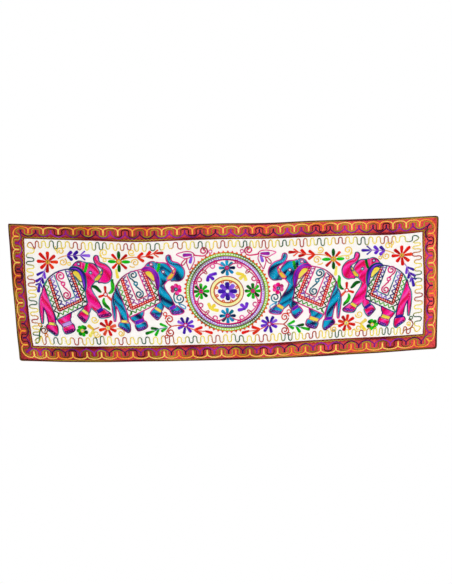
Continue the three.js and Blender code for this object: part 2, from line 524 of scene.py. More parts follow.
class Patch:
    """A closed shape, filled with straight rows at an angle in degrees."""

    def __init__(self, outline, angle=0):
        self.edge = outline
        self.angle = math.radians(angle)

    def outline(self):
        """The shape's own edge."""
        return self.edge

    def rows(self, pitch):
        """Straight rows at even steps across the shape, cut where they leave it."""
        along = np.array([math.cos(self.angle), math.sin(self.angle)])
        aside = np.array([-along[1], along[0]])
        ahead, over = self.edge @ along, self.edge @ aside
        count = max(1, round(np.ptp(over) / pitch))
        steps = np.arange(ahead.min(), ahead.max(), 1.0)[:, None]
        rows = []
        for place in over.min() + (np.arange(count) + 0.5) * np.ptp(over) / count:
            row = np.column_stack([steps * along + place * aside, np.full(len(steps), ROW_COVER * pitch)])
            rows += [run for run in runs_where(row, inside(row, self.edge)) if len(run) > 3]
        return rows


# Threads

# Each variegated thread: the length in millimetres over which its shades come round again, and
# the shades in order.
THREADS = {
    "rose": (125, "ff0090 ff1898 ff58c0 e00048 f4006c ff48b8 ff0c90 d00040"),
    "lagoon": (110, "0098c4 00b4dc 00a8d0 001848 002058 0090b8 00b0d8 00245c"),
    "harbour": (240, "180c60 0c8090 1c0850 1894a4 10084c 3c1474"),
    "fuchsia": (260, "cc0080 e8209c a00070 6c0060 d00084"),
    "petunia": (160, "d80470 ec2c90 c00060"),
    "violet": (110, "5418b8 7c30dc 4010a0 8c40e4 6420cc"),
    "orchid": (100, "7838d8 a068ec 6428cc"),
    "lilac": (100, "c8a0f0 d8b8f8"),
    "heather": (100, "9868c0 b088d8 8050b0"),
    "indigo": (120, "3c14a4 4c20bc 2c0c88"),
    "navy": (80, "0c1c5c 1c3878 061040"),
    "plum": (290, "a82cb0 8c1c94 440454 2c0038"),
    "marigold": (260, "ffd060 ffd868 fcc44c fc8c18"),
    "moss": (380, "a8a020 b4a82c 988e18 30100a 240a04 807412"),
    "leaf": (70, "08a818 30cc10 0c7c18 006c14 50d828"),
    "grass": (210, "98e02c b4f050 a4e838 40a020 106018 70cc28"),
    "pine": (60, "005008 006810"),
    "lime": (60, "04b408 20cc14"),
    "scarlet": (110, "f01c10 d80808 fc4418 e41008"),
    "crimson": (140, "c80808 e01810 b00408"),
    "garnet": (300, "700008 8c0c18 480008"),
    "coral": (90, "ec4020 f46c48 dc2810"),
    "tile": (90, "e8501c f46c28 d83c14"),
    "sun": (90, "fcec58 fce044 fcf078"),
    "butter": (120, "f4d84c f8e068 f0c838"),
    "straw": (160, "f0c83c f4d45c e8b830 f0c444"),
    "amber": (120, "dc8c20 f0b038 cc7018"),
    "rust": (200, "cc1c0c e4341c a81408"),
    "umber": (160, "a04414 b86018 6c2408"),
    "sea": (120, "005870 0090a8 003c4c"),
    "cyan": (90, "10a0d0 40c0e8 0880b8"),
    "slate": (120, "8090b0 98a8c8 6c80a4"),
    "blush": (160, "d81880 f060ac b80060"),
    "raspberry": (160, "d00060 e41070 b00048"),
    "wave": (390, "a82818 b43828 f0dc40 f4e458 105030 1c6040 f4e050 f0d440"),
    "bark": (300, "34100a 48200c 70680e 280a04 38100a"),
    "lemon": (90, "fce850 fcdc3c fce868"),
    "salmon": (60, "f03420 f85838 e42c18"),
    "amethyst": (110, "8c18a0 6c0c88 a838c8"),
    "sky": (100, "a8d4ec c8e4f4"),
    "brick": (120, "b84840 c85c50 a03830"),
    "cream": (120, "fcf4a4 fcf8bc"),
    "fern": (230, "50b430 309820 084c14 04300c 208820 6cc040"),
    "dusk": (250, "4c2ca0 201c58 382890 8c68d0 b090e4 6c40b8"),
    "wine": (260, "6c1058 98288c c060b8 581078 8850c0"),
    "ember": (200, "c01420 e02828 a80c20"),
    "aubergine": (100, "50005c 3c0048"),
    "iris": (330, "8c44dc b480f8 9c58e8 40187c 4c2090 8448d4"),
    "clover": (210, "60c424 8cdc3c 54b820 187018 0c5014 58bc28"),
    "white": (100, "f6f6fa fafafc"),
}
PALETTES = {
    name: (run, np.array([linear(code) for code in codes.split()]))
    for name, (run, codes) in THREADS.items()
}

# A chain stitch's length on a line and in a filled shape, the step from row to row, and a line's
# own width.
STITCH = 4.4
FILL_STITCH = 5.2
ROW = 2.3
LINE = 3.7
# How far the shades move on, in rounds of a thread's shades, from line to line and row to row.
LINE_SHIFT = 0.618
ROW_SHIFT = 0.03


class Needle:
    """Sews lines of chain stitch in a motif's own place, turn and size."""

    def __init__(self, lines, matrix=np.eye(2), centre=(0.0, 0.0)):
        self.lines = lines
        self.matrix = matrix
        self.centre = np.asarray(centre, float)

    def at(self, x, y, turn=0.0, flip=1.0, lean=0.0, tall=1.0):
        """The needle in a frame moved to a place and turned clockwise in degrees. Flip scales its
        width, and mirrors it where negative. Tall scales its height, and a lean moves it across
        by a share of the way down."""
        c, s = math.cos(math.radians(turn)), math.sin(math.radians(turn))
        frame = np.array([[c, -s], [s, c]]) @ np.array([[flip, lean], [0, tall]])
        return Needle(self.lines, self.matrix @ frame, self.matrix @ (x, y) + self.centre)

    def sew(self, path, thread, width=LINE, lift=0.1, shift=None, is_fill=False):
        """One line. A path's third column, where it has one, is the thread's width along it."""
        place = path[:, :2] @ self.matrix.T + self.centre
        widths = path[:, 2] if path.shape[1] > 2 else np.full(len(path), width)
        shifts = np.zeros(len(path)) + (self.next_shift() if shift is None else shift)
        self.lines.append((np.column_stack([place, widths, shifts]), thread, lift, is_fill))

    def next_shift(self):
        """Where in its shades the next line's thread starts, so that neighbours differ."""
        return LINE_SHIFT * len(self.lines)

    def line(self, thread, width, *points):
        """A smooth line through a few points."""
        self.sew(curve(points), thread, width)

    def loop(self, thread, width, centre, radius, lift=0.1):
        """A circle."""
        self.sew(ring(centre, radius), thread, width, lift)

    def coil(self, thread, width, centre, radius, start, turns=1.35, inner=3.5):
        """A spiral, from its outer radius inwards."""
        self.sew(spiral(centre, radius, inner, start, turns), thread, width)

    def sew_sides(self, corners, thread, width):
        """A line with sharp corners: each side sewn by itself, with the shades running on."""
        shift = self.next_shift()
        for run, start, end in zip(travelled(corners), corners[:-1], corners[1:]):
            self.sew(straight(start, end), thread, width, 0.2, shift + run / PALETTES[thread][0])

    def fill(self, shape, thread, without=(), lift=0.0, shift=None):
        """Rows of stitches over a shape, apart from what lies in other outlines."""
        shift = self.next_shift() if shift is None else shift
        outlines = [other.outline() for other in without]
        for number, row in enumerate(shape.rows(ROW)):
            for run in kept(row, outlines, grown=True):
                self.sew(run, thread, lift=lift, shift=shift + ROW_SHIFT * number, is_fill=True)

    def edge(self, shape, thread, without=(), width=LINE, shift=None):
        """A line round a shape, apart from what lies in other outlines."""
        shift = self.next_shift() if shift is None else shift
        outline = shape.outline()
        loop = straight(*outline, outline[0], step=2.0)
        for run in kept(loop, [other.outline() for other in without]):
            self.sew(run, thread, width, 0.3, shift)


# One chain stitch on the face: its width, its height and its middle groove's height at each ring.
LINE_STITCH = np.array([(0.95, 0.78, 0.95), (1.22, 1.0, 0.5)])
FILL_LOOP = np.array([(0.86, 0.8, 0.95), (1.0, 1.0, 0.6)])
# On the back each line shows as a row of plain straight stitches, one thread wide.
PLAIN_STITCH = np.array([(1.0, 1.0, 1.0)])
PLAIN_WIDTH = 1.5
PLAIN_STEP = 7.0
PLAIN_FILL_STEP = 13.0
# The points of a ribbon's section: their sides, and their heights over the cloth. Seen along the
# line they run clockwise, so the back's are the other way round.
FACE_SECTION = np.array([(-0.5, 0.0), (-0.3, 1.0), (0.0, 1.0), (0.3, 1.0), (0.5, 0.0)])
BACK_SECTION = np.array([(0.5, 0.0), (0.0, -1.0), (-0.5, 0.0)])
# A stitch's height as a share of its width, how deep its sides reach into the cloth, and the
# share of its size that is left at a line's ends.
STITCH_RISE = 0.36
SUNK = 0.25
END_SHARE = 0.55
# How uneven handwork is: a ring's wander, in millimetres, and its change of width and of shade, as
# a share. No part of a shade gets lighter than the last of the three.
WANDER = 0.07
UNEVEN = 0.05
LIGHTEST = 0.97


def back_face(place):
    """How far the cloth's back lies behind its front at places on the cut cloth: less past the
    hem, then a little more from the seam on to the panel."""
    inset = np.minimum(place, (CUT_WIDTH, CUT_HEIGHT) - place).min(axis=-1)
    steps = (*HEM_FALL, BORDER - 0.5, BORDER + 0.5)
    return np.interp(inset, steps, (HEM_THICKNESS, STRIP_THICKNESS, STRIP_THICKNESS, PANEL_THICKNESS))


def even_steps(line, pitch, rings):
    """A line's columns again, a whole number of stitches long, with `rings` points a stitch, and
    the length up to each point."""
    run = travelled(line)
    at = np.linspace(0, run[-1], max(1, round(run[-1] / pitch)) * rings + 1)
    return np.column_stack([along_line(at, run, line), at])


def shades_along(thread, rounds):
    """A thread's shades where it has gone through them so many times, blended in between."""
    palette = PALETTES[thread][1]
    steps = np.arange(len(palette) + 1)
    return along_line(rounds % 1 * len(palette), steps, np.concatenate([palette, palette[:1]]))


def ribbons(lines, on_back, dice):
    """The lines as rings of points along closed ribbons: points, places along and across each
    ribbon, colours, and the faces of the walls and ends. Each ring is the section of a stitch at
    its place along the line, and the ends narrow."""
    section = BACK_SECTION if on_back else FACE_SECTION
    rings, shades, lengths = [], [], []
    for path, thread, lift, is_fill in lines:
        if on_back:
            shape, pitch = PLAIN_STITCH, (PLAIN_FILL_STEP if is_fill else PLAIN_STEP)
        else:
            shape, pitch = (FILL_LOOP, FILL_STITCH) if is_fill else (LINE_STITCH, STITCH)
        across, down, width, shift, run = even_steps(path, pitch, len(shape)).T
        place = np.column_stack([across, down])
        wide, high, groove = shape[np.arange(len(run)) % len(shape)].T
        ends = np.ones(len(run))
        ends[[0, -1]] = END_SHARE
        thick = np.full(len(run), PLAIN_WIDTH) if on_back else width
        rise = np.minimum(thick, LINE) * STITCH_RISE * high * ends
        lifts = np.full(len(run), lift)
        rings.append(np.column_stack([place, normals(place), thick * wide * ends, rise, groove, run, lifts]))
        shades.append(shades_along(thread, run / PALETTES[thread][0] + shift))
        lengths.append(len(run))
    ring = np.concatenate(rings)
    place, normal = ring[:, :2], ring[:, 2:4]
    thick, high, groove, run, lift = ring[:, 4:].T[..., None]
    jitter = dice.normal(0, 1, (len(ring), 3))
    centre = place + normal * jitter[:, :1] * WANDER
    side = thick * (1 + UNEVEN * jitter[:, 1:2]) * section[:, 0]
    rise = high * section[:, 1]
    rise[:, len(section) // 2] *= groove[:, 0]
    rise[:, [0, -1]] = SUNK if on_back else -SUNK
    place = centre[:, None] + normal[:, None] * side[..., None]
    lift = rise - back_face(place) if on_back else rise + lift
    points = on_cloth(place[..., 0], place[..., 1], lift).reshape(-1, 3)
    uv = np.stack([np.repeat(run, len(section), axis=1), side], -1).reshape(-1, 2) * MM
    tint = np.clip(np.concatenate(shades) * (1 + UNEVEN * jitter[:, 2:3]), 0, LIGHTEST)
    last = np.cumsum(lengths) - 1
    faces = ribbon_faces(last - lengths + 1, last, len(section))
    return points, uv, np.repeat(tint, len(section), axis=0), faces


def ribbon_faces(first, last, sections):
    """Walls between neighbouring rings, and a face on both ends of each ribbon."""
    start = np.setdiff1d(np.arange(last[-1] + 1), last)[:, None] * sections
    one = np.arange(sections)
    two = np.roll(one, -1)
    walls = np.stack([start + one, start + two, start + sections + two, start + sections + one], -1)
    return [walls.reshape(-1, 4), first[:, None] * sections + one[::-1], last[:, None] * sections + one]


def stitched(name, seed, motif, *details, place=(0, 0)):
    """One piece of embroidery: a motif's lines, as chain stitch on the face and plain stitches on
    the back. The place is what Needle.at takes."""
    lines = []
    motif(Needle(lines).at(*place), *details)
    dice = np.random.default_rng(seed)
    face, back = (ribbons(lines, on_back, dice) for on_back in (False, True))
    points, uv, tint = (np.concatenate(pair) for pair in zip(face[:3], back[:3]))
    faces = face[3] + [group + len(face[0]) for group in back[3]]
    return add_piece(name, points, faces, THREAD, uv, tint)


# Small motifs, each in its own frame

def petal(needle, length, width, thread, start=0.0, shift=None):
    """A paddle along the frame's own right. It widens from its root as a square root, and its tip
    is half round."""
    root, fullness = 0.45, 0.55
    size = length - start
    round_from = max(1 - width / (2 * size), 0.3)
    grow = np.linspace(0, 1, 5)
    turn = np.radians([25, 50, 70, 85])
    half = np.concatenate([root + (1 - root) * np.sqrt(grow), np.cos(turn)]) * width * fullness
    t = np.concatenate([round_from * grow, round_from + (1 - round_from) * np.sin(turn)])
    needle.fill(Band(np.column_stack([start + t * size, 0 * t, half])), thread, shift=shift, lift=0.15)


def leaf(needle, points, width, thread):
    """A slim leaf along a curved midrib, widest in the middle: a blunted sine."""
    tip, bluntness = 0.06, 0.6
    t = np.linspace(tip, 1 - tip, len(points))
    half = width / 2 * np.sin(np.pi * t) ** bluntness
    needle.fill(Band(np.column_stack([points, half])), thread, lift=0.15)


def petals(needle, tips, width, threads, start=8.0):
    """Petals about the frame's middle. Each has its angle and its length, and the threads are
    taken in turn."""
    for number, (turn, length) in enumerate(tips):
        petal(needle.at(0, 0, turn), length, width, threads[number % len(threads)], start=start)


def around(count):
    """Even turns round a circle, in degrees."""
    return [360 * number / count for number in range(count)]


def heart(needle, radius, ring_thread, dot_thread, fill_thread="straw"):
    """A flower's middle: a filled round with a ring and a dot."""
    needle.loop(fill_thread, radius * 0.7, (0, 0), radius * 0.5, lift=0.3)
    needle.loop(ring_thread, 3.6, (0, 0), radius, lift=0.9)
    needle.loop(dot_thread, 3.8, (0, 0), 1.5, lift=1.0)


def arms(needle, reach, spread, width, threads):
    """Two arms that slant forward from one root. The reaches, angles and threads are those of
    the arm on each side."""
    for side, length, turn, thread in zip((-1, 1), reach, spread, threads):
        petal(needle.at(0, 0, side * turn), length, width, thread)


def dots(needle, path, pitch, thread, width, lift):
    """Single short stitches at even steps along a path."""
    run = travelled(path)
    for at in np.arange(pitch / 2, run[-1], pitch):
        needle.sew(along_line(at + np.array([-1.4, 0, 1.4]), run, path), thread, width, lift)


# The elephants, each in a frame about the middle of its saddle cloth with its head to the right

# A band's points are across, down and half its width there. Those of a closed shape or of a plain
# line are across and down.
TRUNK = [(103, -129, 2), (103, -126, 6.2), (102, -117, 9.2), (104, -107, 8.6), (109, -99, 8.6),
         (119, -93, 9.8), (129, -87, 12), (137, -75, 15), (139, -62, 17), (132, -48, 18.5),
         (116, -43, 13.5), (104, -37, 8)]
DOME = [(4, -76), (16, -88), (25, -99), (37, -106), (49, -106), (59, -100), (63, -88), (52, -74),
        (28, -74)]
FACE = [(50, -99), (70, -101), (90, -99), (101, -89), (109, -78), (113, -67), (112, -54), (105, -41),
        (93, -31), (80, -17), (65, -10), (56, -40)]
CHEST = [(70, -48, 15), (69, -12, 11.5), (73, 12, 15), (80, 32, 18.5), (90, 52, 18), (104, 72, 13)]
NEAR_FORELEG = [(66, 44, 11.5), (59, 64, 13), (48, 80, 13.5)]
HIND_LEG = [(-88, -19, 1.5), (-89, 5, 7.5), (-88, 25, 13), (-84, 45, 17), (-79, 65, 15.5),
            (-75, 85, 13.5), (-73, 105, 13.5), (-72, 120, 13)]
NEAR_HIND_LEG = [(-27, 76, 28), (-28, 100, 25), (-23, 114, 19.5), (-17, 128, 16.5)]
TAIL = [(-92, 8, 5), (-100, 28, 7), (-104, 50, 7.5), (-105, 75, 6.8), (-106, 100, 5.2), (-107, 119, 3)]
EAR = [(3, -74, 1.5), (15, -81, 5), (31, -80, 6.5), (45, -70, 7.5), (54, -54, 8), (57, -36, 7.5),
       (58, -18, 5.5), (57, 2, 1.5)]
LINING = [(14, -67), (28, -72), (41, -64), (47, -50), (49, -37), (45, -32), (37, -38), (28, -48),
          (18, -58)]
TUSK = [(124, -78, 1.5), (118, -64, 5), (108, -50, 6.6), (99, -40, 6.6), (94, -36, 4.5)]
BACK = [(-88, -18), (-81, -30), (-69, -45), (-53, -58), (-35, -68), (-15, -74), (5, -78)]
STRAP = [(69, -101, 4.8), (65, -84, 5), (59, -66, 4.8)]
SADDLE_FOOT = [(57, 2), (61, 49), (-55, 105)]
EYE = (80, -66)
MIRROR = (39, -96)
LIMB_SHIFT = 0.13

# The feet: the angle of their rows, and their outlines.
FEET = {
    "raised": (80, [(95, 77), (97, 90), (104, 97), (125, 96), (140, 91), (143, 82), (130, 71), (115, 63)]),
    "near_fore": (35, [(41, 69), (24, 85), (24, 92), (36, 107), (45, 115), (52, 110), (60, 99), (63, 84)]),
    "hind": (95, [(-86, 121), (-95, 130), (-95, 138), (-84, 148), (-72, 157), (-65, 162), (-57, 157),
                  (-54, 143), (-58, 122)]),
    "near_hind": (70, [(-34, 130), (-33, 149), (-26, 155), (-9, 151), (4, 144), (8, 135), (0, 118)]),
}
# The anklets: both ends and half the width.
ANKLETS = {
    "raised": ((94, 76), (115, 63), 5.5),
    "near_fore": ((41, 68), (62, 84), 4.8),
    "hind": ((-86, 118), (-58, 121), 4.8),
    "near_hind": ((-35, 125), (-1, 113), 6),
}
# The rows of toes: both ends.
TOES = {
    "raised": ((104, 90), (136, 84)),
    "near_fore": ((31, 91), (48, 108)),
    "hind": ((-88, 140), (-64, 156)),
    "near_hind": ((-26, 150), (1, 140)),
}


def patch(points, angle):
    """A closed shape with a smooth outline through a few points."""
    return Patch(curve(points, closed=True), angle)


def elephant(needle, look, anklets, rise, shift):
    """One elephant: bands and patches that share one outline, then ear, tusk, saddle cloth,
    anklets and toes. `look` holds its threads."""
    saddle = Patch(np.concatenate([curve(BACK), SADDLE_FOOT]))
    ear, lining, tusk, strap = Band(EAR), patch(LINING, 60), Band(TUSK), Band(STRAP)
    rounds = [Patch(ring(place, 6.5)) for place in (EYE, MIRROR)]
    bands = {name: Band([(*start, half), (*end, half)]) for name, (start, end, half) in ANKLETS.items()}
    feet = [patch(points, turn) for turn, points in FEET.values()]
    legs = [Band(points) for points in (CHEST, NEAR_FORELEG, HIND_LEG, NEAR_HIND_LEG, TAIL)]
    limbs = [Band(TRUNK), patch(FACE, 65), patch(DOME, 65), *legs, *feet]
    fittings = [saddle, ear, lining, tusk, strap, *rounds, *bands.values()]
    for number, limb in enumerate(limbs):
        needle.fill(limb, look["body"], fittings + limbs[:number], shift=shift + LIMB_SHIFT * number)
    for number, limb in enumerate(limbs):
        others = limbs[:number] + limbs[number + 1:] + [saddle, ear]
        needle.edge(limb, look["outline"], others, 3.9, LIMB_SHIFT * number)
    fit_out(needle, look, saddle, ear, lining, tusk, strap)
    for name, thread in zip(ANKLETS, anklets):
        needle.fill(bands[name], thread, lift=0.2)
        for share in (-1, 1):
            needle.sew(bands[name].rail(share), look["outline"], 2.6, 0.3)
        toes(needle, *TOES[name], look["sole"])
    saddle_cloth(needle, look, rise)


def fit_out(needle, look, saddle, ear, lining, tusk, strap):
    """The ear with its lining, the tusk, the head strap, the eye and the saddle cloth's edge."""
    first_shift, row_shift = 0.2, 0.04
    rows = ear.rows(ROW)
    for number, row in enumerate(rows):
        thread = look["ear"][min(number * 3 // len(rows), 2)]
        needle.sew(row, thread, lift=0.3, shift=first_shift + row_shift * number, is_fill=True)
    needle.fill(lining, "lemon", without=[ear], lift=0.1)
    needle.fill(tusk, "butter", lift=0.2)
    needle.fill(strap, look["strap"], lift=0.2)
    for place in (EYE, MIRROR):
        needle.loop(look["outline"], 3.2, place, 5.4, 0.4)
        needle.loop(look["eye"], 4.0, place, 1.8, 0.3)
    needle.edge(ear, look["outline"], width=3.4)
    needle.edge(lining, look["outline"], [ear], 3.0)
    needle.edge(tusk, look["tusk"], width=3.0)
    needle.edge(saddle, look["outline"], [ear, lining], 4.1)


def toes(needle, start, end, thread):
    """Four toes in a row along a foot's far side: a band, and on it little rings with a dot in
    each."""
    needle.fill(Band([(*start, 5), (*end, 5)]), thread, lift=0.15)
    for share in (0.0, 0.33, 0.67, 1.0):
        place = np.subtract(end, start) * share + start
        needle.loop("aubergine", 2.8, place, 3.8, 0.7)
        needle.loop("lilac", 3.0, place, 1.0, 0.8)


def saddle_cloth(needle, look, rise):
    """From the edge inwards: a green zigzag, a red band with white dots, a violet zigzag, an
    inner line, and two coils joined in an S through a small ring. The rise lifts the upper coil."""
    green = straight((-82, -30), (-50, 89), (53, 44), (47, -2), (35, -34))
    needle.sew_sides(zigzag(green, 19, 6.2), "fern", 4.0)
    needle.sew(straight((-54, 101), (-43, 80)), "fern", 4.0, 0.3)
    red = straight((-69, -44), (-42, 70), (42, 33), (9, -72))
    side = normals(red)
    needle.sew(red, "salmon", 5.2)
    for aside in (-4.5, 4.5):
        needle.sew(red + side * aside, look["band"], 3.4, 0.2)
    dots(needle, red, 9.3, "white", 3.8, 0.7)
    violet = straight((-60, -50), (-31, 55), (31, 27), (-1, -72))
    needle.sew_sides(zigzag(violet, 19, 7.0), look["zigzag"], 4.0)
    needle.sew_sides(np.array([(-50, -55), (-20, 39), (20, 21), (-10, -73)]), look["inner"], 4.0)
    for path in (
        spiral((-27, -51 - rise), 17, 4, 105, 1.6),
        curve([(-32, -35 - rise), (-27, -31 - rise / 2), (-20, -30)]),
        ring((-20, -24), 6.2),
        curve([(-20, -18), (-19, -13), (-12, -7), (-3, 2)]),
        spiral((-10.5, 15.5), 15.5, 3.5, -60, 1.5),
    ):
        needle.sew(path, look["swirl"], 4.8, 0.2)


# The medallion

PICOTS = 58
RING_SHIFT = 0.1
# The outer rings: radius, thread and line width.
OUTER_RINGS = (
    (141.8, "grass", 2.8), (134.8, "grass", 2.8), (131.6, "garnet", 3.0),
    (127.6, "iris", 2.2), (121.4, "iris", 2.2), (118.0, "raspberry", 4.4),
)
# The rings of short rungs between them: radius, rungs' length, how many, thread and line width.
LADDERS = ((138.3, 6, 96, "clover", 3.2), (124.5, 5.6, 92, "iris", 2.3))
# The rings round the middle flower: half widths across and down, thread and line width.
MIDDLE_RINGS = (
    (57.8, 55.7, "brick", 3.4), (54.6, 52.2, "cream", 3.6), (51.6, 48.9, "cream", 3.6),
    (48.8, 45.8, "cream", 3.6), (46.2, 42.9, "amber", 3.2), (43.9, 40.3, "brick", 3.2),
)
# The petals of the flowers at its sides, and of those above and below, clockwise from the right.
BLOOMS = (
    ("lime", "pine", "lime", "lime", "leaf", "pine", "leaf", "lime"),
    ("navy", "cyan", "cyan", "sea", "lagoon", "cyan", "lagoon", "sea"),
)


def medallion(needle):
    """Rings about a centre, four flowers on a curling vine, and a flower in the middle."""
    needle.sew(dense_ring(144.4), "rust", 2.6)
    for turn in around(PICOTS):
        needle.at(0, 0, turn).sew(straight((143, -3.2), (150, 0), (143, 3.2)), "tile", 4.4, 0.3)
    for radius, thread, width in OUTER_RINGS:
        needle.sew(dense_ring(radius), thread, width, 0.2, RING_SHIFT)
    for row in LADDERS:
        ladder(needle, *row)
    for quarter in range(4):
        side = needle.at(0, 0, 90 * quarter)
        corner = side.at(0, 0, 45)
        facing = (1, -1)[quarter % 2]
        for turn, length in ((-57, 30), (-2, 25), (58, 24)):
            petal(corner.at(88, 0, 180 + facing * turn), length, 11, ("violet", "sun")[quarter % 2])
        corner.sew(ring((0, 0), 4.4) * (2.2, 1) + (106, 0), "brick", 3.4)
        vine(side)
    for quarter, (x, y) in enumerate(((89.5, -2), (-3, 88), (-91, -4), (3, -88))):
        bloom = needle.at(x, y)
        petals(bloom, [(turn, 29) for turn in around(8)], 10.5, BLOOMS[quarter % 2], start=7)
        heart(bloom, 6, "raspberry", "heather", "petunia")
    for across, down, thread, width in MIDDLE_RINGS:
        needle.sew(dense_ring(1) * (across, down) + (-1, -1), thread, width)
    for turn in around(8):
        needle.at(-1, -1, 22.5 + turn).loop("tile", 3.8, (38, 0), 3.8)
    middle = needle.at(1, -2)
    petals(middle, [(turn, 34) for turn in around(8)], 15, ("indigo", "orchid"), start=5)
    heart(middle, 4.5, "white", "white", "white")


def ladder(needle, radius, length, rungs, thread, width):
    """Short rungs across a ring, at even steps round it, with the shades of a thread that runs
    round with them."""
    rung = straight((radius - length / 2, 0), (radius + length / 2, 0))
    for turn in around(rungs):
        shift = RING_SHIFT + radius * math.radians(turn) / PALETTES[thread][0]
        needle.at(0, 0, turn).sew(rung, thread, width, 0.05, shift)


def dense_ring(radius):
    """A large circle about the middle, with closer points."""
    return curve(ring((0, 0), radius), steps=3)


def vine(needle):
    """Half of the vine on each side of a flower: an arc that ends in a curl, with small rings."""
    for side in (-1, 1):
        stalk = curve([(95, side * 12), (103, side * 26), (104, side * 42), (96, side * 58), (84, side * 71),
                       (74, side * 74)])
        needle.sew(stalk, "blush", 3.9)
        needle.loop("petunia", 3.9, (111, side * 37), 5.5)
        needle.sew(arc((95, side * 47), 7.5, 0, 320), "blush", 3.9)


# The small motifs between the elephants, in the facing of the left half

def corner_flower(needle):
    """The red flower in an upper corner."""
    tips = ((-134, 43), (-90, 37), (-42, 36), (0, 37), (51, 31), (95, 39), (137, 36), (182, 39))
    petals(needle, tips, 11, ("scarlet", "scarlet", "crimson"))
    heart(needle, 6.5, "amber", "pine")


def long_spray(needle, shades=("violet", "indigo", "indigo", "indigo", "violet", "orchid")):
    """The violet spray above an elephant: its origin is where the first arms part."""
    needle.line("amber", 3.4, (-34, 12), (-22, 6), (-10, 2), (0, 0))
    needle.sew(straight((-2, 0), (54, -3)), "heather", 3.2)
    arms(needle, (24, 25), (42, 41), 11, shades[:2])
    arms(needle.at(22, -2), (23, 20), (42, 44), 11, shades[2:4])
    arms(needle.at(46, -2), (25, 25), (42, 42), 4.8, shades[4:5] * 2)
    petal(needle.at(52, -2), 31, 10, shades[5])


def right_long_spray(needle):
    """The same, with the threads in another order."""
    long_spray(needle, ("indigo", "violet", "orchid", "violet", "indigo", "indigo"))


def side_spray(needle):
    """The violet spray that hangs down at a side: its origin is where the first arms part."""
    needle.line("heather", 3.5, (8, -14), (0, 0), (-8, 22), (-19, 47))
    arms(needle.at(0, 0, 118), (27, 31), (32, 34), 8.5, ("orchid", "indigo"))
    arms(needle.at(-8, 22, 116), (23, 29), (33, 30), 9, ("indigo", "violet"))
    arms(needle.at(-15, 41, 116), (18, 21), (38, 38), 5, ("violet", "indigo"))
    petal(needle.at(-18, 43, 103), 34, 10, "indigo")


def corner_coils(needle):
    """Two yellow coils with a hook and a ring, beside the corner's flower."""
    needle.coil("butter", 4.0, (0, 0), 14, 140)
    needle.line("butter", 3.8, (-18, -18), (-18, -6), (-9, 6))
    needle.coil("straw", 4.0, (7, 38), 14, -60)
    needle.loop("butter", 3.8, (29, 44), 5.5)


def star_flower(needle):
    """The green and red flower between two elephants."""
    for turn, length, thread in ((-90, 39, "pine"), (90, 38, "pine"), (0, 41, "lime"), (180, 39, "lime")):
        blade = needle.at(0, 0, turn)
        leaf(blade, [(9, 0), (17, 0), (25, 0), (33, 0), (length, 0)], 12, thread)
    petals(needle, ((-132, 37), (-42, 40), (133, 35), (43, 38)), 9.5, ("scarlet", "crimson"), start=10)
    heart(needle, 8.5, "amber", "slate")
    petal(needle.at(-11, 26, 82), 36, 10, "sun")
    needle.coil("butter", 4.0, (-52, -31), 15, 120)
    needle.line("butter", 3.8, (-14, -8), (-38, -11), (-58, -13), (-68, -22))
    needle.loop("butter", 3.5, (-50, -4), 5.5)


def red_spray(needle):
    """The red spray above an elephant, with coils: its origin is where the first arms part."""
    needle.line("amber", 3.6, (-52, 10), (-36, 3), (-18, 0), (0, 0))
    needle.line("coral", 3.5, (0, 0), (31, -3), (57, -12), (66, -13))
    arms(needle, (27, 29), (37, 34), 10, ("scarlet", "coral"))
    arms(needle.at(31, -3), (26, 28), (46, 13), 10, ("scarlet", "crimson"))
    arms(needle.at(57, -12), (23, 24), (37, 36), 4.8, ("coral", "coral"))
    petal(needle.at(64, -13, -1), 30, 10, "crimson")
    needle.coil("butter", 4.0, (-20, -18), 13, 40)
    needle.coil("straw", 4.0, (-8, 20), 14, 180)
    needle.line("straw", 3.8, (-29, 31), (-21, 36), (-9, 35))


def small_flower(needle):
    """Three red petals with three green leaves."""
    petals(needle, ((-90, 31), (160, 28), (45, 31)), 8.5, ("crimson", "scarlet", "coral"), start=5)
    heart(needle, 6.5, "crimson", "white", "white")
    leaf(needle, [(10, -4), (20, -9), (27, -22), (27, -38), (26, -47), (29, -57)], 13, "leaf")
    leaf(needle, [(-14, -7), (-22, -14), (-31, -24), (-40, -28), (-49, -28)], 13, "pine")
    leaf(needle, [(-6, 12), (-9, 25), (-4, 38), (5, 47), (12, 57)], 12.5, "leaf")


def lower_flower(needle):
    """The red flower low between two elephants, with a yellow fork, a green bud and coils."""
    tips = ((-100, 32), (-60, 31), (-18, 32), (22, 32), (72, 31), (122, 32), (165, 34), (215, 33))
    petals(needle, tips, 10.5, ("scarlet", "crimson", "coral"), start=7)
    heart(needle, 6, "butter", "slate", "cream")
    arms(needle.at(-51, 6, 180), (33, 27), (54, 38), 11, ("sun", "butter"))
    needle.line("amber", 3.6, (-53, 6), (-43, 2), (-31, -2))
    bud = needle.at(-93, 10)
    tips = [(turn, 21) for turn in (-48, 22, 78, 128, 180, 232, 283)]
    petals(bud, tips, 12.5, ("pine", "pine", "lime", "leaf", "leaf", "leaf", "lime"), start=6)
    heart(bud, 5, "butter", "lilac", "white")
    needle.coil("butter", 4.0, (-45, -30), 14, 0)
    needle.coil("butter", 4.0, (-43, 22), 13, 0)
    needle.line("straw", 3.8, (29, 4), (42, 3), (54, 8), (56, 17))
    needle.coil("straw", 4.0, (45, 20), 11, -20)


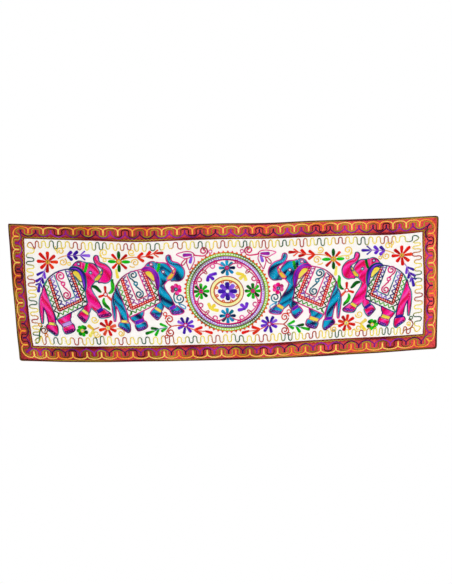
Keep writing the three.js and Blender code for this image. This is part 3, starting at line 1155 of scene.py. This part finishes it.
def pink_bud(needle):
    """A pink bud on a curling teal stem."""
    tips = ((-87, 21), (-33, 22), (18, 21), (79, 22), (159, 20), (212, 21))
    petals(needle, tips, 14, ("rose", "rose", "rose", "rose", "blush", "blush"), start=6)
    heart(needle, 5, "sea", "lilac", "lagoon")
    needle.line("sea", 4.5, (-5, 12), (-9, 28), (-6, 43), (2, 50))
    needle.coil("sea", 4.5, (11, 33), 17, 118, -1.45)
    needle.line("cyan", 3.6, (6, 52), (16, 66), (28, 72), (30, 64), (20, 57), (6, 52))


def violet_flower(needle):
    """The violet flower beside the medallion, with rust coils."""
    tips = ((-118, 32), (-69, 31), (-28, 32), (11, 32), (55, 33), (104, 33), (157, 31), (208, 32))
    threads = ("indigo", "indigo", "orchid", "orchid", "violet", "indigo", "violet", "orchid")
    petals(needle, tips, 10, threads, start=7)
    heart(needle, 6.5, "raspberry", "white", "lilac")
    needle.line("rust", 3.6, (-9, 0), (-36, 1), (-51, 3))
    for side in (-1, 1):
        needle.line("rust", 4.2, (-51, 3), (-62, 3 + side * 9), (-70, 3 + side * 22))
        needle.coil("rust", 4.2, (-56, 1 + side * 24), 15, 180, side * -1.4)
    needle.loop("rust", 3.6, (-70, -42), 6.5)
    needle.loop("rust", 3.2, (-71, 40), 5)


def green_spray(needle):
    """The green spray towards an elephant: its origin is where the first arms part."""
    needle.line("slate", 3.6, (1, 0), (-17, 4), (-32, 7), (-50, 14))
    arms(needle.at(0, 0, 180), (29, 30), (35, 25), 9, ("leaf", "lime"))
    arms(needle.at(-31, 7, 180), (29, 30), (58, 8), 9.5, ("lime", "pine"))
    petal(needle.at(-48, 13, 163), 35, 10, "leaf")


def inner_spray(needle):
    """The red spray towards the medallion: its origin is where the arms part."""
    needle.line("coral", 3.2, (-22, -10), (-10, -4), (0, 0), (25, 5), (44, 7))
    arms(needle, (32, 32), (17, 33), 10, ("scarlet", "coral"))
    petal(needle.at(38, 5, 17), 30, 10, "scarlet")


def butterfly(needle):
    """Two outlined leaves with a violet petal in each, on a curling magenta stem."""
    outlines = (
        [(4, 0), (-6, -10), (-24, -13), (-44, -10), (-61, -4), (-47, 5), (-32, 12), (-16, 10), (-4, 5)],
        [(0, 4), (3, 18), (-3, 34), (-11, 48), (-16, 55), (-21, 44), (-25, 30), (-24, 18)],
    )
    for points in outlines:
        needle.sew(curve(points), "blush", 3.6)
    petal(needle.at(-5, -1, 178), 34, 12, "amethyst", shift=0.55)
    petal(needle.at(-6, 3, 106), 29, 10, "orchid", shift=0.2)
    needle.sew(straight((-38, 2), (-5, -1)), "raspberry", 3.0, 0.1)
    needle.line("raspberry", 3.6, (-22, 12), (-32, 16), (-43, 28), (-42, 36), (-34, 33), (-27, 22), (-22, 12))
    needle.line("raspberry", 4.8, (-2, 0), (14, 3), (34, 5), (46, 0))
    needle.coil("raspberry", 4.8, (36, -13), 15, 50, -1.5)
    needle.loop("blush", 3.4, (60, -10), 6)


def lower_coil(needle):
    """The coil in the left lower corner, with a dark line that curls out of the winding line."""
    needle.coil("umber", 4.0, (2, 0), 14, -80, 1.5)
    needle.loop("amber", 3.8, (-9, -19), 5.5)
    needle.loop("amber", 3.8, (9, 17), 5)
    needle.line("pine", 3.8, (-36, 47), (-22, 42), (-15, 12), (-7, -10), (2, -16))


def lower_hook(needle):
    """The coil in the right lower corner, under a hooked brown line."""
    needle.line("umber", 4.0, (-3, -16), (11, -6), (14, 8), (2, 21), (-14, 24), (-21, 35))
    needle.coil("butter", 4.0, (0, 1), 9, 30, 1.3, inner=3)
    needle.loop("pine", 3.8, (7, -20), 5.5)


# Each motif with its origin on the left half and on the right half.
GARDEN = (
    (corner_flower, (134, 134), (1392, 133)),
    (side_spray, (120, 168), (1408, 178)),
    (corner_coils, (181, 95), (1345, 94)),
    (star_flower, (387, 127), (1149, 139)),
    (red_spray, (453, 110), (1083, 120)),
    (small_flower, (334, 247), (1192, 256)),
    (lower_flower, (332, 368), (1189, 377)),
    (pink_bud, (585, 231), (949, 236)),
    (violet_flower, (611, 362), (912, 365)),
    (green_spray, (546, 367), (977, 371)),
    (inner_spray, (641, 380), (878, 382)),
    (butterfly, (653, 108), (885, 108)),
)


def garden(needle):
    """All the small motifs. Those on the right are mirrored and lean a little."""
    mirrored = {"flip": -1, "lean": -0.03}
    for motif, left, right in GARDEN:
        motif(needle.at(*left))
        motif(needle.at(*right, **mirrored))
    long_spray(needle.at(204, 110))
    right_long_spray(needle.at(1332, 112, **mirrored))
    lower_coil(needle.at(98, 378))
    lower_hook(needle.at(1415, 390))


# The border

# The tongues' cusps round the cloth: across, down, and how many repeats lie since the last one.
CUSPS = (
    (69, 27, 1), (334.5, 27, 5), (542, 27, 4), (814, 27, 5), (1012, 27, 4), (1267, 27, 5), (1456, 27, 4),
    (1493, 62, 1), (1493, 226, 3), (1493, 402, 3), (1487, 455, 1), (1437, 461, 1), (1263, 461, 3),
    (1041, 461, 4), (787, 461, 5), (526, 461, 5), (298, 461, 4), (139, 461, 3), (52, 461, 2), (27, 431, 1),
    (27, 233, 4), (27, 46.5, 4),
)
# The crests of the winding line, along each side in turn: the place along that side, and how many
# repeats lie since the last one.
CRESTS = {
    "top": ((66, 1), (121, 2), (263, 5), (438, 7), (493, 2), (622, 4), (678, 2), (838, 6), (903, 3),
            (1100, 8), (1201, 4), (1393, 7), (1454, 1)),
    "right": ((120, 2), (204, 3), (258, 2), (375, 4), (422, 1)),
    "foot": ((1413, 1), (1345, 3), (1282, 3), (1178, 4), (1085, 4), (1012, 3), (910, 4), (795, 4), (710, 3),
             (600, 4), (456, 5), (346, 4), (242, 4), (152, 3), (95, 2), (66, 1)),
    "left": ((347, 3), (268, 3), (192, 3), (115, 3)),
}
# Where the winding line is green, along each side.
GREENS = {
    "top": (160, 320, 515, 680, 838, 975, 1105, 1250, 1435),
    "right": (215, 372),
    "foot": (1335, 1155, 975, 800, 635, 460, 295, 135),
    "left": (400, 283, 130),
}
# The two rows of scallops: thread, how many repeats aside they lie, depth at a scallop's middle, and
# how much deeper its shoulders and then its tongue reach.
SCALLOPS = (
    ("marigold", 0, 10.6, 9.4, 15.6),
    ("plum", 0.5, 44.7, -12.7, -12.0),
)
# The lines along the strips' two edges: depth from the cloth's edge, how far they waver, the
# waver's length, thread and width.
EDGE_LINES = (
    (2.6, 0.3, 30, "bark", 2.9),
    (5.4, 0.9, 17, "moss", 2.1),
    (48.4, 1.5, 14, "moss", 2.5),
    (51.8, 0.3, 30, "garnet", 2.2),
)


def at_side(side, along, inset):
    """A place beside one side of the cloth, so far in from it."""
    return {
        "top": (along, inset),
        "right": (CUT_WIDTH - inset, along),
        "foot": (along, CUT_HEIGHT - inset),
        "left": (inset, along),
    }[side]


class Track:
    """A rounded rectangle inside the cloth's edge, clockwise from the top left corner's diagonal.
    It takes a run along it and a depth from the cloth's edge to a place."""

    def __init__(self, depth, radius):
        self.depth = depth
        near = depth + radius
        right, foot = CUT_WIDTH - near, CUT_HEIGHT - near
        corners = np.array([(near, near), (right, near), (right, foot), (near, foot)])
        places, outwards = [], []
        for corner, start, end in ((0, -45, 0), (1, 0, 90), (2, 90, 180), (3, 180, 270), (0, 270, 315)):
            angle = np.radians(np.linspace(start, end, 13))
            outwards.append(np.stack([np.sin(angle), -np.cos(angle)], -1))
            places.append(corners[corner] + radius * outwards[-1])
        self.place, self.outward = np.concatenate(places), np.concatenate(outwards)
        self.run = travelled(self.place)
        self.length = self.run[-1]

    def at(self, run, depth):
        """The places at runs along the track, moved out or in to a depth."""
        run = run % self.length
        outward = along_line(run, self.run, self.outward) * (self.depth - np.asarray(depth))[..., None]
        return along_line(run, self.run, self.place) + outward

    def nearest(self, across, down):
        """The run at the track's nearest point to a place."""
        fine = np.linspace(0, self.length, 8000)
        points = self.at(fine, self.depth)
        return fine[np.argmin(np.hypot(points[:, 0] - across, points[:, 1] - down))]

    def repeats(self, places):
        """Repeats and runs to interpolate between, and the repeats in all, from places with their
        repeats since the last."""
        run = np.array([self.nearest(across, down) for across, down, _ in places])
        count = np.cumsum([repeats for *_, repeats in places]) - 0.5
        total = count[-1] - count[0] + 1
        phase = np.concatenate([count[-1:] - total, count, count[:1] + total])
        return phase, np.concatenate([run[-1:] - self.length, run, run[:1] + self.length]), int(total)


def border(needle):
    """Nested scallops: marigold ones with tongues that point in, plum ones with tongues that
    point out between them, and a moss line that winds between the two. A scallop swings out to
    its shoulders over most of its half, a marigold one as a quarter ellipse and a plum one about
    half way from that to a straight line. Its tongue is the straight rest."""
    shoulder, gap = 0.7, 1.25
    first_shift, next_shift = 0.5, 0.25
    middle_depth, reach, upright = 27.7, 11.7, 0.105
    track = Track(27.0, 20.0)
    phase, run, total = track.repeats(CUSPS)
    t = np.linspace(-1, 1, 41)
    swing = np.clip(np.abs(t) / shoulder, 0, 1)
    tongue = np.clip((np.abs(t) - shoulder) / (1 - shoulder), 0, 1)
    arch = np.sin(np.pi / 2 * swing), 1 - np.cos(np.pi / 2 * swing)
    tent = 0.6 * swing + 0.4 * arch[0], 0.5 * swing + 0.5 * arch[1]
    for number in range(total):
        for (thread, aside, top, shoulders, tip), (over, fall) in zip(SCALLOPS, (arch, tent)):
            at = np.interp(number + aside + np.sign(t) * over * 0.5, phase, run) - np.sign(t) * gap * swing
            place = track.at(at, top + shoulders * fall + tip * tongue)
            shift = first_shift + number * next_shift
            needle.sew(np.column_stack([place, LINE - tongue]), thread, shift=shift)
    fine = np.linspace(0, total, total * 28 + 1)
    winding = np.interp(fine + upright * np.sin(4 * np.pi * fine), phase, run)
    moss = track.at(winding, middle_depth - reach * np.cos(2 * np.pi * fine))
    needle.sew(moss, "moss", width=3.5, lift=0.2, shift=0.0)
    for line in EDGE_LINES:
        edge_line(needle, *line)


def edge_line(needle, depth, reach, pitch, thread, width):
    """A line round the cloth at one depth, with a sine's waver."""
    right, foot = CUT_WIDTH - depth, CUT_HEIGHT - depth
    loop = straight((depth, depth), (right, depth), (right, foot), (depth, foot), (depth, depth), step=2.0)
    waver = reach * np.sin(2 * np.pi * travelled(loop) / pitch)
    needle.sew(loop + normals(loop) * waver[:, None], thread, width)


def wave(needle):
    """The winding line inside the seam: a cosine whose sides stand upright, with a reach that
    changes a little from wave to wave, as slow sines do."""
    line_inset, upright = 66, 0.085
    track = Track(72.0, 16.0)
    crests = [(*at_side(side, along, line_inset), count) for side in CRESTS for along, count in CRESTS[side]]
    greens = [(*at_side(side, along, line_inset), 1) for side in GREENS for along in GREENS[side]]
    phase, runs, total = track.repeats(crests)
    fine = np.linspace(0, total, total * 24 + 1)
    run = np.interp(fine + upright * np.sin(4 * np.pi * fine), phase, runs)
    trough = 86 + 3.2 * np.sin(1.9 * fine) * np.sin(0.37 * fine) + 2.0 * np.sin(0.83 * fine + 1)
    crest = 60 + 1.2 * np.sin(1.13 * fine)
    path = track.at(run, (crest + trough) / 2 + (trough - crest) / 2 * np.cos(2 * np.pi * fine))
    rounds, marks, _ = track.repeats(greens)
    # The greens are the fifth and sixth of the thread's eight shades, and a mark's rounds end in
    # a half.
    to_green = 4.5 / 8 - 0.5
    shift = np.interp(run, marks, rounds) + to_green - travelled(path) / PALETTES["wave"][0]
    needle.sew(path, "wave", shift=shift)


# The cloth

def dipped(distance):
    """How far the face sinks at a seam: a quarter circle over the last of the cloth."""
    depth, reach = 0.5, 1.6
    return depth * (1 - np.sqrt(1 - (1 - np.clip(distance / reach, 0, 1)) ** 2))


def panel_rows(size):
    """The panel's grid along one side: close at the seams and 6 mm apart between them."""
    near = BORDER + SEAM_HALF
    close = near + np.array([0, 0.4, 1.0, 1.8])
    return np.concatenate([close, np.arange(near + 5, size - near - 4, 6), (size - close)[::-1]])


def make_panel():
    """The cream panel, inside the seams."""
    across, down = np.meshgrid(panel_rows(CUT_WIDTH), panel_rows(CUT_HEIGHT))
    inset = np.minimum(np.minimum(across, CUT_WIDTH - across), np.minimum(down, CUT_HEIGHT - down))
    dip = dipped(inset - BORDER - SEAM_HALF)
    return cloth_sheet("cream_panel", across, down, -dip, -PANEL_THICKNESS + dip, CREAM_COTTON)


def make_strip(name, length, place):
    """One border strip. `place` takes a run along the outer edge and a depth to the cut cloth.
    Its outer edge is a half circle over the hem, cut short where it would get too thin, and the
    hem lies on the back down to its width."""
    seam_depth = BORDER - SEAM_HALF
    edge_half = 0.15
    hem_rows = [0.06, 0.3, 0.75, 1.3, 3, 6, 9, 11.3, 11.9, 12.3]
    depths = np.concatenate([hem_rows, np.arange(15, 48, 4), [50, 52.2, 53.1, 53.7, seam_depth]])
    half = HEM_THICKNESS / 2
    edge = half - np.sqrt(half ** 2 - (half - np.minimum(depths, half)) ** 2)
    edge = np.minimum(edge, half - edge_half)
    seam = dipped(seam_depth - depths)
    front = -edge - seam
    back = edge + seam * 0.5 - np.interp(depths, HEM_FALL, (HEM_THICKNESS, STRIP_THICKNESS))
    ends = np.array([0, 0.0006, 0.0015])
    share = np.concatenate([ends, np.linspace(0.003, 0.997, round(length / 5)), 1 - ends[::-1]])
    inset = (depths + SEAM_HALF * math.sqrt(2))[:, None]
    along = inset + (length - 2 * inset) * share
    mitre = dipped(np.minimum(along - inset, length - inset - along))
    across, down = place(along, np.broadcast_to(depths[:, None], along.shape))
    return cloth_sheet(name, across, down, front[:, None] - mitre, back[:, None] + mitre * 0.5, MAROON_CLOTH)


# Each strip: its length, and how a run along its outer edge and a depth give a place.
STRIPS = {
    "top": (CUT_WIDTH, lambda along, depth: (along, depth)),
    "right": (CUT_HEIGHT, lambda along, depth: (CUT_WIDTH - depth, along)),
    "bottom": (CUT_WIDTH, lambda along, depth: (CUT_WIDTH - along, CUT_HEIGHT - depth)),
    "left": (CUT_HEIGHT, lambda along, depth: (depth, CUT_HEIGHT - along)),
}

panel = make_panel()
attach(panel, "root")
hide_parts("centre_panel")
strips = {}
for side, (length, place) in STRIPS.items():
    strips[side] = make_strip(side + "_strip", length, place)
    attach(strips[side], "root")
    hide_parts("border_" + side)


# The embroidery

# The threads of the two kinds of elephant.
MAGENTA = {
    "body": "rose", "outline": "harbour", "swirl": "petunia", "eye": "sky", "tusk": "harbour",
    "inner": "sea", "zigzag": "dusk", "band": "garnet", "ear": ("navy", "violet", "orchid"),
    "sole": "plum", "strap": "lime",
}
TEAL = {
    "body": "lagoon", "outline": "fuchsia", "swirl": "sea", "eye": "white", "tusk": "petunia",
    "inner": "petunia", "zigzag": "wine", "band": "ember", "ear": ("violet", "amethyst", "amethyst"),
    "sole": "orchid", "strap": "lime",
}
# Each elephant: its threads, its anklets' threads, how much higher its upper coil is, and its
# place on the cloth, turn, flip, lean and height.
ELEPHANTS = {
    "first_elephant": (MAGENTA, ("indigo", "sun", "sun", "lilac"), 0, (205, 235)),
    "second_elephant": (TEAL, ("violet", "sun", "sun", "violet"), 6, (464, 229.5, 0, 1, 0.02, 0.965)),
    "third_elephant": ({**TEAL, "strap": "leaf"}, ("sun", "violet", "violet", "sun"), 0,
                       (1065.5, 238, 1.6, -1, -0.08, 0.985)),
    "fourth_elephant": ({**MAGENTA, "sole": "orchid", "strap": "pine"}, ("sun", "indigo", "indigo", "sun"), 7,
                        (1321, 243, 0, -0.954, -0.085, 0.985)),
}

embroidery = [
    stitched(name, number, elephant, look, anklets, rise, 0.3 * number, place=place)
    for number, (name, (look, anklets, rise, place)) in enumerate(ELEPHANTS.items())
]
embroidery += [
    stitched("medallion", 11, medallion, place=(767, 245, 0, 1.02, 0, 0.987)),
    stitched("garden", 12, garden),
    stitched("wave_line", 13, wave),
    stitched("border_scallops", 14, border),
]
for piece in embroidery:
    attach(piece, "root")


# Floor, lights and camera

# How bright the world is behind the camera, and everywhere else.
WORLD_BEHIND = 0.08
WORLD_ROUND = 1.15


def add_floor():
    """A plain pale floor, well below the hung cloth."""
    reach = 2.6
    height = cad_box[0][2] - 1.5
    corners = [(x * reach, y * reach, height) for x, y in ((-1, -1), (1, -1), (1, 1), (-1, 1))]
    mesh = bpy.data.meshes.new("floor")
    mesh.from_pydata(corners, [], [(0, 1, 2, 3)])
    finish = Finish("pale_floor", Base_Color=(0.86, 0.86, 0.86, 1), Roughness=0.8)
    mesh.materials.append(finish.material)
    floor = bpy.data.objects.new("floor", mesh)
    bpy.context.scene.collection.objects.link(floor)


def add_light(name, place, target, size, power):
    """A soft square light that faces a target."""
    lamp = bpy.data.lights.new(name, "AREA")
    lamp.size = size
    lamp.energy = power
    light = bpy.data.objects.new(name, lamp)
    light.location = place
    bpy.context.scene.collection.objects.link(light)
    aim = np.subtract(target, place)
    light.rotation_euler = (math.acos(-aim[2] / np.linalg.norm(aim)), 0, math.atan2(-aim[0], aim[1]))


def add_world():
    """White to the camera. To the cloth it is soft light from every side, but dim behind the
    camera, where satin would mirror it."""
    world = bpy.data.worlds.new("studio")
    world.use_nodes = True
    sky = Wire(world.node_tree)
    ways = sky.node("ShaderNodeTexCoord", output="Generated")
    towards_wall = sky.node("ShaderNodeSeparateXYZ", None, {0: ways}, output="Y")
    dim_to, full_from = -0.88, -0.5
    light = sky.node("ShaderNodeMapRange", {"interpolation_type": "SMOOTHSTEP"}, {
        "Value": towards_wall, "From Min": dim_to, "From Max": full_from,
        "To Min": WORLD_BEHIND, "To Max": WORLD_ROUND,
    })
    is_seen = sky.node("ShaderNodeLightPath", output="Is Camera Ray")
    strength = sky.node("ShaderNodeMix", None, {"Factor": is_seen, "A": light, "B": 1.0})
    ground = world.node_tree.nodes["Background"]
    ground.inputs["Color"].default_value = (1, 1, 1, 1)
    world.node_tree.links.new(strength.socket, ground.inputs["Strength"])
    bpy.context.scene.world = world


def add_camera():
    """Face on, as the photo is, and opposite the cloth's middle to about a centimetre. The frame's
    width is that at the cloth."""
    distance = 4.0
    frame_width = 1.624
    across, up = 0.0104, -0.2472
    camera = bpy.data.cameras.new("camera")
    camera.sensor_fit = "HORIZONTAL"
    camera.lens = camera.sensor_width * distance / frame_width
    view = bpy.data.objects.new("camera", camera)
    view.location = (across, -distance, up)
    view.rotation_euler = (math.pi / 2, 0, 0)
    bpy.context.scene.collection.objects.link(view)
    bpy.context.scene.camera = view


add_floor()
add_light("key_light", place=(0.8, -4.4, 0.2), target=(0.2, 0, -0.25), size=2.3, power=106)
add_light("back_light", place=(-0.8, 3.2, 1.4), target=(0, 0, -0.25), size=2.0, power=5)
add_world()
add_camera()
bpy.context.scene.view_settings.view_transform = "Standard"
